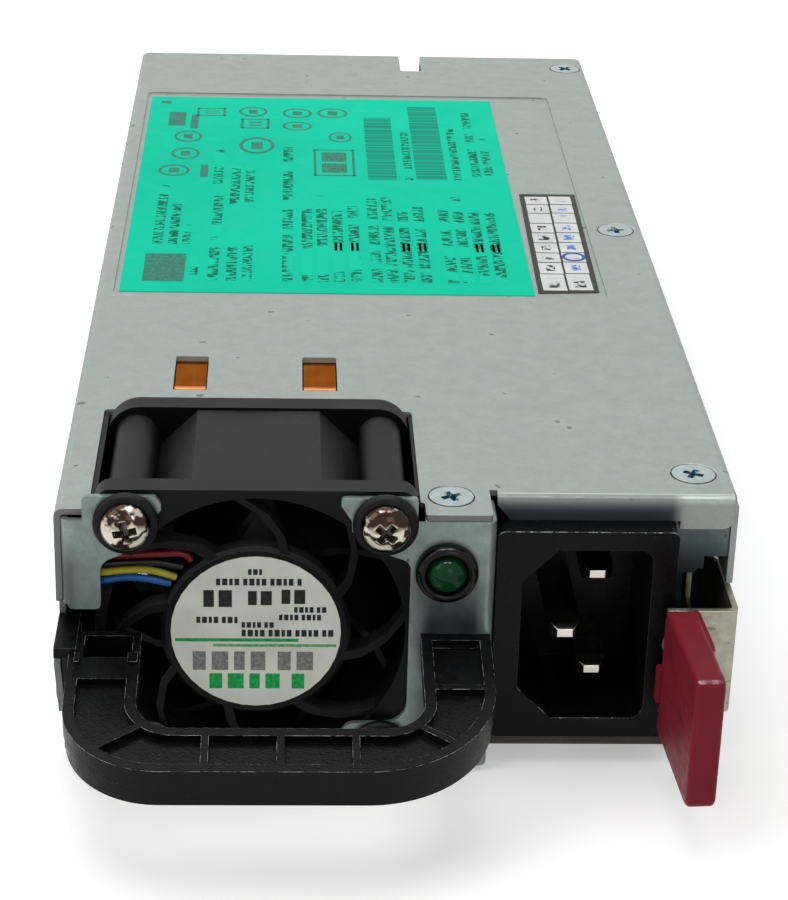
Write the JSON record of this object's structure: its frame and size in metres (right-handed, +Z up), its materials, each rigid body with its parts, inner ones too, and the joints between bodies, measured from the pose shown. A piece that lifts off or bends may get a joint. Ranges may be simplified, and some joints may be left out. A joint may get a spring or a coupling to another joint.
{
  "type": "hot swap server power supply",
  "caption": "Slim slide-in server power supply: folded zinc-steel case, four-wire 40 mm axial fan, mains inlet, pull handle, dark red release lever, status lamp and rear card edge.",
  "frame": {"origin": "centre of the underside of the case", "axes": "+Z up out of the cover, +Y back from the fan and inlet towards the card edge, +X to the release lever's side"},
  "size_m": [0.0881, 0.2366, 0.0401],
  "materials": {
    "zinc_steel": "zinc-plated sheet, satin with a faint spangle",
    "nickel_spring": "nickel-plated spring steel, satin",
    "screw_steel": "bright plated",
    "zinc_screw": "zinc-plated, satin",
    "copper_alloy": "bright copper alloy",
    "fan_plastic": "moulded black, slightly dusty",
    "rotor_plastic": "moulded black",
    "magnet": "sintered ferrite",
    "lamination": "stacked steel sheets",
    "winding_copper": "enamelled copper",
    "hub_label": "printed film",
    "wire_red": "flexible insulation",
    "wire_black": "flexible insulation",
    "wire_yellow": "flexible insulation",
    "wire_blue": "flexible insulation",
    "washer_rubber": "black rubber",
    "liner_film": "thin black sheet",
    "black_gloss": "moulded black, glossy",
    "lamp_green": "translucent dark green",
    "black_moulding": "moulded black, fine texture",
    "contact_metal": "nickel-plated",
    "lever_plastic": "moulded dark red",
    "label_film": "printed film, turquoise",
    "paper_label": "printed paper, white",
    "board_laminate": "green solder mask",
    "gold_plate": "gold-plated",
    "brass": "turned",
    "insulator_film": "thin sheet",
    "capacitor_sleeve": "shrink sleeve",
    "sink_aluminium": "extruded",
    "package_epoxy": "moulded epoxy",
    "ferrite": "ground ferrite",
    "winding_tape": "yellow winding tape",
    "relay_case": "moulded blue"
  },
  "bodies": {
    "case": {"top_cover": "zinc_steel", "chassis_tray": "zinc_steel", "rear_panel": "zinc_steel", "fan_bracket": "zinc_steel", "ear_bracket": "zinc_steel", "fan_frame": "fan_plastic", "fan_liners": "liner_film", "stator_core": "lamination", "stator_windings": "winding_copper", "fan_label": "hub_label", "fan_lead_red": "wire_red", "fan_lead_black": "wire_black", "fan_lead_yellow": "wire_yellow", "fan_lead_blue": "wire_blue", "lead_connector": "paper_label", "fan_washers": "washer_rubber", "fan_screws": "screw_steel", "lamp_ring": "black_gloss", "lamp_lens": "lamp_green", "lamp_leads": "wire_black", "inlet_housing": "black_moulding", "inlet_blades": "contact_metal", "inlet_wires": "wire_black", "handle": "black_moulding", "handle_rivet": "zinc_screw", "spring_foot": "nickel_spring", "spring_rivets": "zinc_screw", "cover_screws": "zinc_screw", "case_rivets": "zinc_screw", "bridge_clips": "copper_alloy", "rating_label": "label_film", "date_label": "paper_label", "main_board": "board_laminate", "edge_contacts": "gold_plate", "standoffs": "brass", "board_screws": "zinc_screw", "insulator": "insulator_film", "bulk_capacitors": "capacitor_sleeve", "primary_heat_sink": "sink_aluminium", "secondary_heat_sink": "sink_aluminium", "power_transistors": "package_epoxy", "transformer_core": "ferrite", "transformer_winding": "winding_tape", "choke_windings": "winding_copper", "output_capacitors": "capacitor_sleeve", "control_board": "board_laminate", "filter_box": "relay_case"},
    "rotor": {"fan_rotor": "rotor_plastic", "rotor_magnet": "magnet"},
    "latch": {"latch_spring": "nickel_spring", "release_lever": "lever_plastic", "lever_rivet": "zinc_screw"}
  },
  "joints": [
    {"name": "fan_spin", "type": "hinge", "parent": "case", "child": "rotor", "pos_m": [-0.018, -0.0884, 0.02], "axis": [0, 1, 0], "continuous": true},
    {"name": "latch_flex", "type": "hinge", "parent": "case", "child": "latch", "pos_m": [0.0409, -0.0478, 0.0168], "axis": [0, 0, -1], "range_deg": [0, 2.3], "stiffness_Nm_per_rad": 6}
  ]
}
